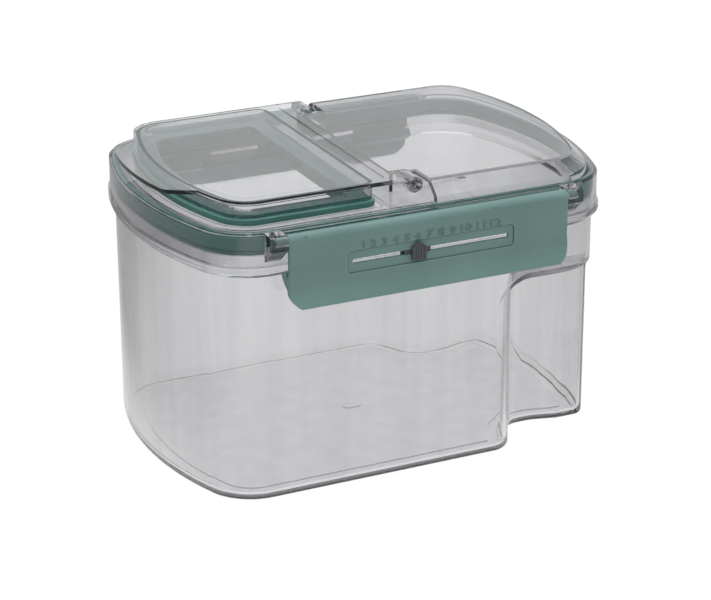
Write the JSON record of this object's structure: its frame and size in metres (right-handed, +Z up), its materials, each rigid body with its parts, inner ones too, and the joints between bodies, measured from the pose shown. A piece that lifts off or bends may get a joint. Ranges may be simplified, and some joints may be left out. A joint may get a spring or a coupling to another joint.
{
  "type": "pet food storage container",
  "caption": "Clear dry-food bin with a gasketed lid, a flip-up pour flap, two hinged side latches with date dials, and hand grips moulded into the tub.",
  "frame": {"origin": "on the surface the container stands on, under the middle of its overall box", "axes": "+Z up, X along the length with the pour flap towards -X, front towards -Y"},
  "size_m": [0.2472, 0.1952, 0.1562],
  "materials": {
    "clear_tub": "clear, polished",
    "clear_lid": "clear, polished",
    "lid_seal": "soft, satin",
    "clear_flap": "clear, polished",
    "flap_seal": "soft, satin",
    "front_latch_green": "fine matt moulding",
    "back_latch_green": "fine matt moulding",
    "front_pointer": "fine matt moulding",
    "back_pointer": "fine matt moulding"
  },
  "bodies": {
    "tub_body": {"tub": "clear_tub"},
    "lid_body": {"lid": "clear_lid", "lid_gasket": "lid_seal"},
    "flap_body": {"pour_flap": "clear_flap", "flap_gasket": "flap_seal"},
    "front_latch_body": {"front_latch": "front_latch_green"},
    "back_latch_body": {"back_latch": "back_latch_green"},
    "front_slider_body": {"front_date_slider": "front_pointer"},
    "back_slider_body": {"back_date_slider": "back_pointer"}
  },
  "joints": [
    {"name": "lid_lift", "type": "slide", "parent": "tub_body", "child": "lid_body", "axis": [0, 0, 1], "range_m": [0, 0.045]},
    {"name": "flap_hinge", "type": "hinge", "parent": "lid_body", "child": "flap_body", "pos_m": [0.002, 0, 0.152], "axis": [0, 1, 0], "range_deg": [0, 110]},
    {"name": "front_latch_hinge", "type": "hinge", "parent": "lid_body", "child": "front_latch_body", "pos_m": [0, -0.0912, 0.141], "axis": [-1, 0, 0], "range_deg": [0, 120]},
    {"name": "back_latch_hinge", "type": "hinge", "parent": "lid_body", "child": "back_latch_body", "pos_m": [0, 0.0912, 0.141], "axis": [1, 0, 0], "range_deg": [0, 120]},
    {"name": "front_date_slide", "type": "slide", "parent": "front_latch_body", "child": "front_slider_body", "axis": [1, 0, 0], "range_m": [-0.0282, 0.0434]},
    {"name": "back_date_slide", "type": "slide", "parent": "back_latch_body", "child": "back_slider_body", "axis": [1, 0, 0], "range_m": [-0.0282, 0.0434]}
  ],
  "couplings": [
    {"joint": "front_latch_hinge", "follows": "lid_lift", "rad_per_m": 46.542},
    {"joint": "back_latch_hinge", "follows": "lid_lift", "rad_per_m": 46.542}
  ]
}
